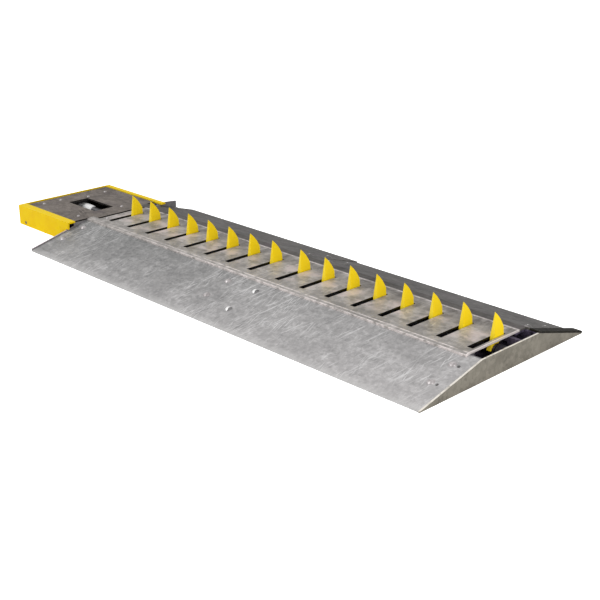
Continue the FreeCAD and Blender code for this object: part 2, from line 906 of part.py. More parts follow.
def spike(middle):
    """Pointed plate that stands on its hub."""
    blade = spike_outline().extrude(Vector(spike_thickness, 0.0, 0.0))
    blade.translate(Vector(middle - spike_thickness / 2.0, 0.0, 0.0))
    x = (middle - spike_thickness, middle + spike_thickness)
    return blade.common(spike_taper(middle)).cut(round_bar(hub_radius + weld_clearance, x))


def spike_hub(middle):
    """Ring on the shaft under a spike, with a set screw and holes for a spring end beside it."""
    x = (middle - hub_length / 2.0, middle + hub_length / 2.0)
    hub = round_bar(hub_radius, x).cut(round_bar(bore_radius, x))
    out = Vector(0.0, 1.0, 0.0)
    hub = hub.cut(pin(small_bolt_radius + thread_clearance, screw_place(middle), out, hub_radius))
    for bearing_face, hub_face, way in spring_places():
        if abs(hub_face - middle) < hub_length:
            hub = hub.cut(tang_hole(hub_face, way))
    return hub


def spike_hubs():
    middles = spike_middles(0) + spike_middles(1)
    return Part.Compound([spike_hub(middle) for middle in middles])


def screw_place(middle):
    """Where a hub's set screw bears on the shaft."""
    return Vector(middle + hub_length / 4.0, shaft_y + bore_radius, shaft_z)


def spike_screws():
    screws = []
    out = Vector(0.0, 1.0, 0.0)
    for section in (0, 1):
        for middle in spike_middles(section):
            screw = pin(small_bolt_radius, screw_place(middle), out, hub_radius - bore_radius - 1.0)
            screws.append(screw)
    return Part.Compound(screws)


def stop_bar(section):
    """Bar behind the spikes on posts beside the bearings."""
    x = (section_start[section] + 1.0, section_right[section] - 1.0)
    y = (stop_bar_front_y, stop_bar_front_y + stop_bar_depth)
    z = (stop_bar_middle - stop_bar_height / 2.0, stop_bar_middle + stop_bar_height / 2.0)
    shapes = [block(x, y, z)]
    for middle in bearing_middles(section):
        shapes.append(block((middle - 10.0, middle + 10.0), y, (base_thickness, z[1])))
    return fused(shapes)


def stop_pads():
    z = (stop_bar_middle - stop_pad_height / 2.0, stop_bar_middle + stop_pad_height / 2.0)
    half = stop_pad_width / 2.0
    pads = []
    for section in (0, 1):
        for middle in spike_middles(section):
            pads.append(block((middle - half, middle + half), (stop_face_y, stop_bar_front_y), z))
    return Part.Compound(pads)


def box_flanged_plate(outer_y, way, width, reach):
    """Yellow side plate: upright web with a flange along its top that reaches over the strip.

    way is the inward sense along Y.
    """
    inner_y = outer_y + way * box_plate
    flange_y = outer_y + way * width
    web_y = sorted((outer_y, inner_y))
    flange = sorted((outer_y, flange_y))
    web = block((x_box_left, x_strip_left - end_plate_thickness), web_y, (0.0, box_height))
    top = block((x_box_left, x_strip_left + reach), flange, (box_height - box_plate, box_height))
    return fused([web, top])


def side_bolt_place():
    """Middle of the bolt low in the yellow front plate, on its outer face."""
    return Vector(x_box_left + side_bolt_offset, box_front_y, floor_flange_height / 2.0)


def box_front_plate():
    """Front plate, with a tail of the web over the end of the front ramp."""
    inward = Vector(0.0, 1.0, 0.0)
    inner_y = box_front_y + box_plate
    tail_foot = front_surface(inner_y - y_front)[1] + front_tail_lift
    tail_x = (x_strip_left - end_plate_thickness, x_strip_left + flange_reaches[0])
    tail = block(tail_x, (box_front_y, inner_y), (tail_foot, box_height))
    plate = box_flanged_plate(box_front_y, 1.0, box_flanges[0], flange_reaches[0])
    shape = fused([plate, tail])
    recess = side_bolt_sunk + side_head_height
    shape = shape.cut(pin(side_head_radius + hole_clearance, side_bolt_place(), inward, recess))
    return shape.cut(pin(side_bolt_radius + hole_clearance, side_bolt_place(), inward, box_plate + 1.0))


def box_side_bolt():
    """Socket screw with its head sunk in the front plate, into the floor's flange."""
    inward = Vector(0.0, 1.0, 0.0)
    seat = side_bolt_place() + inward * side_bolt_sunk
    head = pin(side_head_radius, seat, inward, side_head_height)
    socket = hexagon(side_head_radius / 2.0, side_head_height * 0.75, seat, inward)
    shank = pin(side_bolt_radius, seat + inward * side_head_height, inward, 2.0 * box_plate - 2.0)
    return fused([head.cut(socket), shank])


def box_left_plate():
    y = (box_front_y + box_plate, box_back_y - box_plate)
    plate = block((x_box_left, x_box_left + box_plate), y, (0.0, box_height))
    for outer_y, inward in ((box_front_y, box_flanges[0]), (box_back_y, -box_flanges[1])):
        ends = sorted((outer_y, outer_y + inward))
        x = (x_box_left - 1.0, x_box_left + box_plate + 1.0)
        plate = plate.cut(block(x, ends, (box_height - box_plate, box_height + 1.0)))
    return plate


def box_floor():
    """Floor plate turned up along the front and back plates."""
    x = (x_box_left + box_plate, x_strip_left - end_plate_thickness)
    front, back = box_front_y + box_plate, box_back_y - box_plate
    shapes = [
        block(x, (front, back), (0.0, base_thickness)),
        block(x, (front, front + box_plate), (0.0, floor_flange_height)),
        block(x, (back - box_plate, back), (0.0, floor_flange_height)),
    ]
    floor = fused(shapes)
    for middle in box_bearing_middles():
        floor = bearing_bolt_holes(floor, middle)
    hole = side_bolt_radius + hole_clearance
    return floor.cut(pin(hole, side_bolt_place(), Vector(0.0, 1.0, 0.0), 3.0 * box_plate))


def cover_support(middle, width):
    """Angle across the box under the cover, with a tab against each yellow plate."""
    front, back = box_front_y + box_plate, box_back_y - box_plate
    x = (middle - width / 2.0, middle + width / 2.0)
    web_x = (x[1] - box_plate, x[1])
    tab_z = (frame_height - support_tab, frame_height)
    shapes = [
        block(x, (front, back), (frame_height - box_plate, frame_height)),
        block(web_x, (front, back), (frame_height - support_web, frame_height)),
        block(x, (front, front + box_plate), tab_z),
        block(x, (back - box_plate, back), tab_z),
    ]
    return fused(shapes)


def cover_bolt_places():
    top = frame_height + cover_thickness
    return [Vector(x_box_left + x, box_front_y + y, top) for x, y in cover_bolt_offsets]


def cover_supports():
    supports = []
    for offset, width in zip(support_middles, support_widths):
        support = cover_support(x_box_left + offset, width)
        hole = cover_bolt_radius + hole_clearance
        depth = cover_thickness + box_plate + 1.0
        supports.append(drilled(support, cover_bolt_places(), Vector(0.0, 0.0, 1.0), hole, depth))
    return Part.Compound(supports)


def box_cover():
    """Plate between the yellow flanges, with a tongue over the strip's left end."""
    front = box_front_y + box_flanges[0] + cover_front_gap
    back = box_back_y - box_flanges[1] - cover_back_gap
    z = (frame_height, frame_height + cover_thickness)
    left = x_box_left + box_plate + cover_left_gap
    main = block((left, x_strip_left), (front, back), z)
    tongue = block(
        (x_strip_left, x_strip_left + tongue_reach),
        (y_deck_front + front_margin + seam_gap, y_deck_edge - seam_gap),
        z,
    )
    start = x_box_left + opening_left_offset
    opening = block(
        (start, start + opening_length),
        (opening_front_y, opening_front_y + opening_depth),
        (z[0] - 1.0, z[1] + 1.0),
    )
    upright = [edge for edge in opening.Edges if abs(edge.tangentAt(edge.FirstParameter).z) > 0.9]
    cover = fused([main, tongue]).cut(opening.makeFillet(3.0, upright))
    hole = cover_bolt_radius + hole_clearance
    return drilled(cover, cover_bolt_places(), Vector(0.0, 0.0, 1.0), hole, cover_thickness + 1.0)


def cover_bolts():
    bolts = []
    up = Vector(0.0, 0.0, 1.0)
    for place in cover_bolt_places():
        head = domed_head(cover_head_radius, cover_head_height, place, up)
        shank = pin(cover_bolt_radius, place + up * 0.5, up * -1.0, cover_thickness + box_plate + 2.0)
        bolts.append(fused([head, shank]))
    return Part.Compound(bolts)


def nodes():
    """Every piece by node name."""
    parts = {
        "right_end_plate": end_plate(),
        "left_end_plate": left_end_plate(),
        "back_infill_plate": back_infill(),
        "front_ramp_ribs": front_ribs(),
        "back_ramp_ribs": back_ribs(),
        "front_ramp_bolts": ramp_bolts(front_bolt_places, lambda section: front_normal()),
        "back_ramp_bolts": ramp_bolts(back_bolt_places, back_normal),
        "bearing_blocks": bearing_blocks(),
        "bearing_bushes": bearing_bushes(),
        "bearing_bolts": bearing_bolts(),
        "stop_pads": stop_pads(),
        "shaft_coupling": shaft_coupling(),
        "coupling_bolts": coupling_bolts(),
        "shaft_collars": shaft_collars(),
        "drive_hub": drive_hub(),
        "spike_hubs": spike_hubs(),
        "spike_set_screws": spike_screws(),
        "box_front_plate": box_front_plate(),
        "box_back_plate": box_flanged_plate(box_back_y, -1.0, box_flanges[1], flange_reaches[1]),
        "box_left_plate": box_left_plate(),
        "box_floor": box_floor(),
        "box_cover": box_cover(),
        "box_cover_supports": cover_supports(),
        "box_cover_bolts": cover_bolts(),
        "box_side_bolt": box_side_bolt(),
        "deck_screw": deck_screw(),
    }
    for section in (0, 1):
        suffix = "_%d" % (section + 1)
        parts["base_plate" + suffix] = base_plate(section)
        parts["deck_plate" + suffix] = deck_plate(section)
        parts["front_ramp" + suffix] = front_ramp(section)
        parts["back_ramp" + suffix] = back_ramp(section)
        parts["front_rail" + suffix] = front_rail(section)
        parts["back_rail" + suffix] = back_rail(section)
        parts["stop_bar" + suffix] = stop_bar(section)
        parts["return_springs" + suffix] = return_springs(section)
        parts["spike_shaft" + suffix] = spike_shaft(section)
        for number, middle in enumerate(spike_middles(section)):
            parts["spike_%02d" % (section * spikes_per_section + number + 1)] = spike(middle)
    return parts


os.makedirs("parts", exist_ok=True)
for name, shape in nodes().items():
    shape.exportStep("parts/%s.step" % name)
    state = "valid" if shape.isValid() else "NOT VALID"
    print("%-20s solids %2d  volume %12.1f  %s" % (name, len(shape.Solids), shape.Volume, state))
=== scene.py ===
import json
import math

import bpy
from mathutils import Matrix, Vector

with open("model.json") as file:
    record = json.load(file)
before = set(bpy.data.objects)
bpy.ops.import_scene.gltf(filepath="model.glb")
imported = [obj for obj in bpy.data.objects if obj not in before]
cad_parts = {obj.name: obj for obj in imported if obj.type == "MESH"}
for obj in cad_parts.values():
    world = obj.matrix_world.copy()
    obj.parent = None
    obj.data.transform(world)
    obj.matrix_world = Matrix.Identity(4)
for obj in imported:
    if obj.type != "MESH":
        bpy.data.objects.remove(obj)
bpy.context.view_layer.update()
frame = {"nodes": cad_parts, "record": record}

# Camera fitted to the photograph: metres, degrees and millimetres
camera_place = (2.6983, -2.3976, 1.2939)
camera_pitch = 69.043
camera_turn = 45.479
camera_lens = 67.29
camera_sensor = 36.0

# Area lights: name, place, target, size in metres and power in watts
area_lights = (
    ("key_light", (-1.5, -3.5, 3.2), (0.0, -0.1, 0.0), 3.0, 110.0),
    ("fill_light", (3.6, -0.8, 1.6), (0.3, 0.0, 0.0), 2.5, 54.0),
)
world_strength = 0.55
floor_size = 60.0
floor_grey = (0.86, 0.86, 0.86)
floor_roughness = 0.9

# Places in the row frame, in metres
deck_bend = -0.118
deck_lip_edge = -0.1285
deck_back_edge = 0.111
deck_right_edge = 1.0305
# band of painted reflection on the deck between the slots
deck_reflection_band = (-0.01, 0.075)
deck_front_band = (-0.088, 0.034)
# band of painted shade on the deck behind the spikes
deck_shade_band = (0.03, 0.085)
# span along X over which the painted highlight on the bend and lip grows
highlight_bend_span = (-0.95, 0.0)
back_flange_edge = 0.116
strip_left = -0.748
strip_right = 1.080
ramp_toe_line = -0.36
ramp_toe_heights = (0.004, 0.010)
# X of the front bolt pair that carries a painted highlight
highlight_bolt_line = 0.237
back_ramp_span = (0.15, 0.16)
box_inside = ((-1.0755, -0.7545), (-0.2165, 0.2005), (0.0, 0.0705))
slot_field = ((-0.70, 1.031), (-0.116, 0.08), (0.06, 0.0738))
# places of the painted shade on the spike roots
root_foot_height = 0.038
root_slope = 2.07
root_top_heights = (0.064, 0.068)

# Colours of single marks, in linear light
# painted reflection: pale pink where the deck reflects the sky and the yellow spikes
painted_reflection_pink = (0.72, 0.62, 0.60)
worn_dull = (0.22, 0.21, 0.20)
# painted shade on the deck behind the spikes
back_shade = (0.12, 0.105, 0.095)
deck_scratch = (0.80, 0.77, 0.74)
# painted highlight on the deck's bend, lip, back and cut edges
edge_highlight = (0.94, 0.86, 0.84)
# painted shade on the walls inside the slots
slot_shade = (0.010, 0.009, 0.009)
ramp_scratch = (0.78, 0.77, 0.77)
gouge_dark = (0.10, 0.10, 0.10)
toe_worn = (0.62, 0.61, 0.60)
# painted highlight on the front bolt pair
head_highlight = (0.95, 0.94, 0.93)
head_shade = (0.05, 0.045, 0.05)
head_side = (0.10, 0.095, 0.10)
back_head = (0.12, 0.115, 0.11)
# painted highlight on the crowns of the back bolts
back_head_highlight = (0.95, 0.93, 0.92)
purple_stain = (0.10, 0.075, 0.085)
# painted highlight along the back flange edge
flange_edge_highlight = (0.60, 0.56, 0.55)
# painted shade on the cover's cut faces in its edge gaps
cover_gap_shade = (0.010, 0.008, 0.008)
chipped = (0.26, 0.22, 0.14)
# painted shade inside the yellow box
box_inside_shade = (0.012, 0.010, 0.008)
# painted shade on the back of the spike roots below the deck
root_shade = (0.016, 0.014, 0.018)


def new_material(name):
    """Empty node material with a Principled shader."""
    material = bpy.data.materials.new(name)
    material.use_nodes = True
    nodes = material.node_tree.nodes
    nodes.clear()
    output = nodes.new("ShaderNodeOutputMaterial")
    shader = nodes.new("ShaderNodeBsdfPrincipled")
    material.node_tree.links.new(shader.outputs["BSDF"], output.inputs["Surface"])
    return material, shader


class Painter:
    """Adds nodes to one material and links them."""

    def __init__(self, material):
        self.tree = material.node_tree
        texture = self.tree.nodes.new("ShaderNodeTexCoord")
        self.coords = texture.outputs["Object"]
        self.normal = texture.outputs["Normal"]

    def add(self, kind):
        """New node of one kind."""
        return self.tree.nodes.new(kind)

    def link(self, source, target):
        """Links an output to an input."""
        self.tree.links.new(source, target)

    def put(self, value, socket):
        """Links a socket to the input, or writes a number or a colour in it."""
        if hasattr(value, "links"):
            self.link(value, socket)
        elif isinstance(value, tuple) and len(value) == 3:
            socket.default_value = value + (1.0,)
        else:
            socket.default_value = value

    def stretched(self, scale, turn=(0.0, 0.0, 0.0)):
        """Object coordinates turned, then scaled along each axis, for streaks."""
        turned = self.add("ShaderNodeMapping")
        turned.inputs["Rotation"].default_value = turn
        self.link(self.coords, turned.inputs["Vector"])
        mapping = self.add("ShaderNodeMapping")
        mapping.inputs["Scale"].default_value = scale
        self.link(turned.outputs["Vector"], mapping.inputs["Vector"])
        return mapping.outputs["Vector"]

    def noise(self, scale, detail=4.0, roughness=0.55, coords=None, distortion=0.0):
        """Cloudy value round 0.5."""
        node = self.add("ShaderNodeTexNoise")
        node.inputs["Scale"].default_value = scale
        node.inputs["Detail"].default_value = detail
        node.inputs["Roughness"].default_value = roughness
        node.inputs["Distortion"].default_value = distortion
        self.link(coords or self.coords, node.inputs["Vector"])
        return node.outputs["Fac"]

    def cells(self, scale):
        """A random value for each crystal of zinc."""
        node = self.add("ShaderNodeTexVoronoi")
        node.inputs["Scale"].default_value = scale
        self.link(self.coords, node.inputs["Vector"])
        split = self.add("ShaderNodeSeparateColor")
        self.link(node.outputs["Color"], split.inputs["Color"])
        return split.outputs["Red"]

    def ramp(self, source, stops):
        """Maps a value through positions and colours."""
        node = self.add("ShaderNodeValToRGB")
        elements = node.color_ramp.elements
        while len(elements) < len(stops):
            elements.new(0.5)
        for element, (position, colour) in zip(elements, stops):
            element.position = position
            element.color = tuple(colour) + (1.0,)
        self.link(source, node.inputs["Fac"])
        return node.outputs["Color"]

    def rising(self, source, low, high, top=1.0):
        """0 below the low value, growing to the top above the high one."""
        node = self.add("ShaderNodeMapRange")
        node.clamp = True
        self.link(source, node.inputs["Value"])
        node.inputs["From Min"].default_value = low
        node.inputs["From Max"].default_value = high
        node.inputs["To Max"].default_value = top
        return node.outputs["Result"]

    def falling(self, source, low, high, top=1.0):
        """The top value below the low value, falling to 0 above the high one."""
        return self.maths("SUBTRACT", top, self.rising(source, low, high, top))

    def mix(self, factor, first, second):
        """Blend of two colours; the factor is the share of the second."""
        node = self.add("ShaderNodeMix")
        node.data_type = "RGBA"
        colours = [socket for socket in node.inputs if socket.type == "RGBA"]
        self.put(factor, node.inputs["Factor"])
        self.put(first, colours[0])
        self.put(second, colours[1])
        return [socket for socket in node.outputs if socket.type == "RGBA"][0]

    def maths(self, operation, first, second=0.0):
        """Result of one calculation."""
        node = self.add("ShaderNodeMath")
        node.operation = operation
        self.put(first, node.inputs[0])
        self.put(second, node.inputs[1])
        return node.outputs[0]

    def times(self, first, second):
        """Product of two values."""
        return self.maths("MULTIPLY", first, second)

    def highest(self, *values):
        """The highest of some values."""
        result = values[0]
        for value in values[1:]:
            result = self.maths("MAXIMUM", result, value)
        return result

    def total(self, *shares):
        """Sum of (value, share) pairs."""
        result = self.times(*shares[0])
        for value, share in shares[1:]:
            result = self.maths("ADD", result, self.times(value, share))
        return result

    def along(self, axis, source=None):
        """Coordinate along X, Y or Z."""
        node = self.add("ShaderNodeSeparateXYZ")
        self.link(source or self.coords, node.inputs["Vector"])
        return node.outputs[axis]

    def near(self, axis, place, half_width):
        """1 at a place on an axis, fading to 0 over the half width."""
        distance = self.maths("ABSOLUTE", self.maths("SUBTRACT", self.along(axis), place))
        return self.falling(distance, 0.5 * half_width, half_width)

    def within(self, limits):
        """1 inside a box given as a low and a high limit on X, Y and Z."""
        fade = 0.0005
        result = 1.0
        for axis, (low, high) in zip("XYZ", limits):
            place = self.along(axis)
            result = self.times(self.rising(place, low, low + fade), result)
            result = self.times(self.falling(place, high - fade, high), result)
        return result

    def facing(self, axis, low=0.5, high=0.8):
        """1 where the surface faces along an axis."""
        return self.rising(self.along(axis, self.normal), low, high)

    def shaded_root(self):
        """1 on the back of a spike's root, under a line from its foot to the deck, where painted shade
        goes.
        """
        line = self.times(self.maths("SUBTRACT", self.along("Z"), root_foot_height), root_slope)
        behind = self.maths("SUBTRACT", self.along("Y"), line)
        below = self.falling(self.along("Z"), *root_top_heights)
        in_strip = self.rising(self.along("X"), strip_left, strip_left + 0.001)
        return self.times(self.times(self.rising(behind, 0.0, 0.002), below), in_strip)

    def upright(self):
        """1 on upright cut faces, 0 on faces turned up or down."""
        height = self.maths("ABSOLUTE", self.along("Z", self.normal))
        return self.falling(height, 0.3, 0.6)

    def edges(self, radius):
        """1 on convex and concave edges, 0 on flats."""
        bevel = self.add("ShaderNodeBevel")
        bevel.samples = 4
        bevel.inputs["Radius"].default_value = radius
        geometry = self.add("ShaderNodeNewGeometry")
        dot = self.add("ShaderNodeVectorMath")
        dot.operation = "DOT_PRODUCT"
        self.link(bevel.outputs["Normal"], dot.inputs[0])
        self.link(geometry.outputs["Normal"], dot.inputs[1])
        return self.falling(dot.outputs["Value"], 0.75, 0.99)

    def scratches(self, turn, fineness, amount, length=9.0):
        """Thin broken lines across the plate at an angle in degrees."""
        turned = (0.0, 0.0, math.radians(turn))
        lines = self.noise(1.0, 2.0, 0.5, self.stretched((length, fineness, length), turned))
        patches = self.noise(7.0, 2.0, 0.5)
        lines = self.rising(lines, 0.70 - 0.1 * amount, 0.76 - 0.1 * amount)
        return self.times(lines, self.rising(patches, 0.42, 0.6))

    def bump(self, height, strength, distance, shader):
        """Relief of the shader's surface."""
        node = self.add("ShaderNodeBump")
        node.inputs["Strength"].default_value = strength
        node.inputs["Distance"].default_value = distance
        self.link(height, node.inputs["Height"])
        self.link(node.outputs["Normal"], shader.inputs["Normal"])

    def finish(self, shader, colour, relief, rough, metal, relief_depth=0.0005):
        """Joins colour, roughness between two limits and bump to the shader."""
        self.link(colour, shader.inputs["Base Color"])
        spread = self.add("ShaderNodeMapRange")
        self.link(relief, spread.inputs["Value"])
        spread.inputs["From Min"].default_value = 0.3
        spread.inputs["From Max"].default_value = 0.7
        spread.inputs["To Min"].default_value = rough[0]
        spread.inputs["To Max"].default_value = rough[1]
        self.link(spread.outputs["Result"], shader.inputs["Roughness"])
        shader.inputs["Metallic"].default_value = metal
        self.bump(relief, 0.3, relief_depth, shader)


def zinc_pattern(paint, clouds, crystals, streaks):
    """Cloudy patches, crystals and drag marks in one value round 0.5."""
    return paint.total(
        (paint.noise(clouds, 7.0, 0.64, distortion=0.5), 0.50),
        (paint.cells(crystals), 0.12),
        (paint.noise(1.0, 5.0, 0.62, paint.stretched(streaks)), 0.26),
        (paint.noise(190.0, 3.0, 0.6), 0.12),
    )


def deck_zinc():
    """Bright worn zinc with painted shade behind the spikes, painted reflections between them, and painted
    highlights on the bend, lip, back and cut edges.
    """
    material, shader = new_material("deck_galvanised")
    paint = Painter(material)
    pattern = zinc_pattern(paint, 9.0, 75.0, (16.0, 60.0, 20.0))
    stops = [(0.34, (0.19, 0.178, 0.165)), (0.5, (0.38, 0.355, 0.335)), (0.66, (0.64, 0.60, 0.57))]
    colour = paint.ramp(pattern, stops)
    # painted reflection: pale pink patches in the middle band between the slots
    reflection_patches = paint.rising(paint.noise(17.0, 3.0, 0.5), 0.46, 0.62, 0.7)
    colour = paint.mix(paint.times(reflection_patches, paint.near("Y", *deck_reflection_band)), colour, painted_reflection_pink)
    patches = paint.rising(paint.noise(24.0, 4.0, 0.6), 0.4, 0.6, 0.45)
    colour = paint.mix(paint.times(paint.near("Y", *deck_front_band), patches), colour, worn_dull)
    # painted shade: streaky darkening of the deck behind the spikes
    streaks = paint.noise(1.0, 5.0, 0.7, paint.stretched((34.0, 9.0, 10.0)))
    streaky_shade = paint.rising(streaks, 0.36, 0.60, 0.8)
    behind = paint.rising(paint.along("Y"), *deck_shade_band)
    colour = paint.mix(paint.times(behind, streaky_shade), colour, back_shade)
    colour = paint.mix(paint.times(paint.scratches(78.0, 260.0, 0.6), 0.5), colour, deck_scratch)
    # painted highlight on the bend, lip, back edge and right cut edge
    colour = paint.mix(deck_edge_highlights(paint), colour, edge_highlight)
    # painted shade on the upright walls inside the slots
    slots = paint.times(paint.upright(), paint.within(slot_field))
    colour = paint.mix(slots, colour, slot_shade)
    paint.finish(shader, colour, pattern, (0.54, 0.36), 0.3)
    return material


def deck_edge_highlights(paint):
    """Share of painted highlight on the deck's bend, lip, back edge and right end."""
    front_lines = paint.highest(
        paint.near("Y", deck_bend, 0.003),
        paint.falling(paint.along("Y"), deck_lip_edge - 0.001, deck_lip_edge + 0.001),
    )
    line = paint.highest(
        paint.times(front_lines, paint.rising(paint.along("X"), *highlight_bend_span)),
        paint.rising(paint.along("Y"), deck_back_edge - 0.002, deck_back_edge),
    )
    broken = paint.rising(paint.noise(46.0, 3.0, 0.6), 0.34, 0.58)
    cut_edge = paint.rising(paint.along("X"), deck_right_edge - 0.001, deck_right_edge + 0.001)
    return paint.highest(paint.times(paint.times(line, broken), 0.85), paint.times(cut_edge, 0.9))


def front_zinc():
    """Mottled zinc with bright scratches along the way of the wheels, and painted light: a shaded and a lit
    copy of the zinc, lighter low down and to the right.
    """
    material, shader = new_material("front_ramp_galvanised")
    paint = Painter(material)
    pattern = zinc_pattern(paint, 6.5, 110.0, (9.0, 50.0, 12.0))
    mottle = paint.noise(46.0, 5.0, 0.7, distortion=0.8)
    level = paint.total((pattern, 0.62), (mottle, 0.38))
    shaded_stops = [(0.34, (0.085, 0.09, 0.09)), (0.52, (0.235, 0.235, 0.232)), (0.68, (0.47, 0.465, 0.46))]
    lit_stops = [(0.32, (0.27, 0.262, 0.262)), (0.5, (0.46, 0.445, 0.445)), (0.66, (0.68, 0.66, 0.66))]
    # painted light: share of the lit copy, growing to the right and low down
    share = paint.total(
        (paint.rising(paint.along("X"), strip_left, strip_right), 0.65),
        (paint.falling(paint.along("Y"), ramp_toe_line, deck_bend), 0.42),
    )
    colour = paint.mix(share, paint.ramp(level, shaded_stops), paint.ramp(level, lit_stops))
    lines = paint.highest(
        paint.scratches(104.0, 190.0, 1.1, 11.0),
        paint.scratches(76.0, 240.0, 0.9, 14.0),
        paint.times(paint.scratches(128.0, 300.0, 0.8, 16.0), 0.7),
    )
    colour = paint.mix(paint.times(lines, 0.6), colour, ramp_scratch)
    gouges = paint.times(paint.scratches(96.0, 150.0, 0.9, 12.0), paint.rising(paint.noise(11.0), 0.5, 0.6))
    colour = paint.mix(paint.times(gouges, 0.5), colour, gouge_dark)
    toe = paint.falling(paint.along("Z"), *ramp_toe_heights)
    colour = paint.mix(paint.times(toe, 0.5), colour, toe_worn)
    paint.finish(shader, colour, level, (0.60, 0.42), 0.2)
    return material


def fastener_zinc():
    """Plated heads: a painted highlight on the front pair where the sections meet, painted shade to the
    right, dull on the back ramp with painted highlights on the crowns.
    """
    material, shader = new_material("zinc_fastener")
    paint = Painter(material)
    marks = paint.noise(90.0, 4.0, 0.6)
    colour = paint.ramp(marks, [(0.35, (0.36, 0.33, 0.33)), (0.65, (0.66, 0.62, 0.62))])
    in_front = paint.falling(paint.along("Y"), 0.0, 0.01)
    # painted highlight on the front pair of heads, with painted shade on their right
    highlight_pair = paint.times(paint.near("X", highlight_bolt_line, 0.02), in_front)
    colour = paint.mix(highlight_pair, colour, head_highlight)
    away = paint.times(paint.facing("X", 0.12, 0.34), paint.total((highlight_pair, 0.65), (marks, 0.4)))
    colour = paint.mix(away, colour, head_shade)
    colour = paint.mix(paint.times(paint.upright(), 0.7), colour, head_side)
    back = paint.rising(paint.along("Y"), *back_ramp_span)
    colour = paint.mix(paint.times(back, 0.9), colour, back_head)
    # painted highlight on the crowns of the back heads
    crown_highlight = paint.times(back, paint.facing("Z", 0.985, 0.995))
    colour = paint.mix(crown_highlight, colour, back_head_highlight)
    paint.finish(shader, colour, marks, (0.38, 0.24), 0.25, 0.0003)
    return material


def plate_zinc(name, dark, light, rough, metal, top_highlight, top_highlight_share):
    """Even dull zinc or primer with a painted highlight on faces turned up."""
    material, shader = new_material(name)
    paint = Painter(material)
    pattern = zinc_pattern(paint, 10.0, 85.0, (30.0, 30.0, 8.0))
    colour = paint.ramp(pattern, [(0.34, dark), (0.68, light)])
    # painted highlight on faces turned up
    top = paint.times(paint.facing("Z"), paint.rising(paint.noise(40.0, 3.0, 0.6), 0.25, 0.5))
    colour = paint.mix(paint.times(top, top_highlight_share), colour, top_highlight)
    paint.finish(shader, colour, pattern, rough, metal)
    return material


def dull_zinc(name, dark, light, rough, metal, streaks=(70.0, 7.0, 18.0), stain=purple_stain, cut=None):
    """Weathered zinc with stains and fine scratches, painted highlights on edges and along the back flange
    edge, and painted shade on upright cut faces if their colour is given.
    """
    material, shader = new_material(name)
    paint = Painter(material)
    pattern = zinc_pattern(paint, 9.0, 80.0, streaks)
    colour = paint.ramp(pattern, [(0.34, dark), (0.68, light)])
    stains = paint.rising(paint.noise(13.0, 4.0, 0.6), 0.54, 0.7, 0.6)
    colour = paint.mix(stains, colour, stain)
    # painted shade on upright cut faces
    if cut:
        colour = paint.mix(paint.upright(), colour, cut)
    # painted highlight along the back flange edge, growing to the right
    right_part = paint.rising(paint.along("X"), strip_left, 0.0)
    flange_highlight = paint.times(paint.near("Y", back_flange_edge, 0.0025), right_part)
    colour = paint.mix(paint.times(flange_highlight, 0.6), colour, flange_edge_highlight)
    bright = tuple(1.5 * level + 0.08 for level in light)
    colour = paint.mix(paint.times(paint.scratches(20.0, 240.0, 0.4), 0.4), colour, bright)
    # painted highlight on edges
    colour = paint.mix(paint.times(paint.edges(0.0025), 0.35), colour, bright)
    paint.finish(shader, colour, pattern, rough, metal)
    return material


def yellow_paint(name, base, shade, shaded_side, chip_share):
    """Gloss paint with faint grime and chips; painted shade makes faces turned to +X more orange and
    darkens the box inside and the spike roots, and a painted highlight lightens faces turned up.
    """
    material, shader = new_material(name)
    paint = Painter(material)
    clouds = paint.noise(14.0, 5.0, 0.6)
    colour = paint.mix(paint.rising(clouds, 0.3, 0.62), shade, base)
    # painted shade: faces turned to +X more orange
    colour = paint.mix(paint.times(paint.facing("X"), 0.8), colour, shaded_side)
    grime = paint.rising(paint.noise(38.0, 6.0, 0.7), 0.60, 0.80, 0.4)
    colour = paint.mix(grime, colour, tuple(level * 0.5 for level in shade))
    chips = paint.times(paint.edges(0.002), paint.rising(paint.noise(120.0), 0.52, 0.62))
    colour = paint.mix(paint.times(chips, chip_share), colour, chipped)
    # painted highlight: faces turned up lighter
    top = tuple(min(1.0, 1.14 * level) for level in base)
    colour = paint.mix(paint.times(paint.facing("Z"), 0.8), colour, top)
    # painted shade inside the yellow box
    colour = paint.mix(paint.within(box_inside), colour, box_inside_shade)
    # painted shade on the back of the spike roots
    colour = paint.mix(paint.shaded_root(), colour, root_shade)
    paint.link(colour, shader.inputs["Base Color"])
    paint.link(paint.maths("ADD", grime, 0.38), shader.inputs["Roughness"])
    shader.inputs["Specular IOR Level"].default_value = 0.08
    paint.bump(paint.noise(260.0, 2.0), 0.12, 0.0003, shader)
    return material


def plain_metal(name, dark, light, rough, metal):
    """Turned or plated steel with fine marks."""
    material, shader = new_material(name)
    paint = Painter(material)
    marks = paint.noise(60.0, 5.0, 0.6)
    colour = paint.ramp(marks, [(0.35, dark), (0.65, light)])
    paint.finish(shader, colour, marks, rough, metal, 0.0003)
    return material


def matt(name, dark, light, rough, scale=80.0):
    """Primer, cast iron or rubber with a rough mottle."""
    material, shader = new_material(name)
    paint = Painter(material)
    marks = paint.noise(scale, 5.0, 0.6)
    colour = paint.ramp(marks, [(0.35, dark), (0.65, light)])
    paint.finish(shader, colour, marks, (rough + 0.08, rough - 0.08), 0.0, 0.0008)
    shader.inputs["Specular IOR Level"].default_value = 0.2
    return material


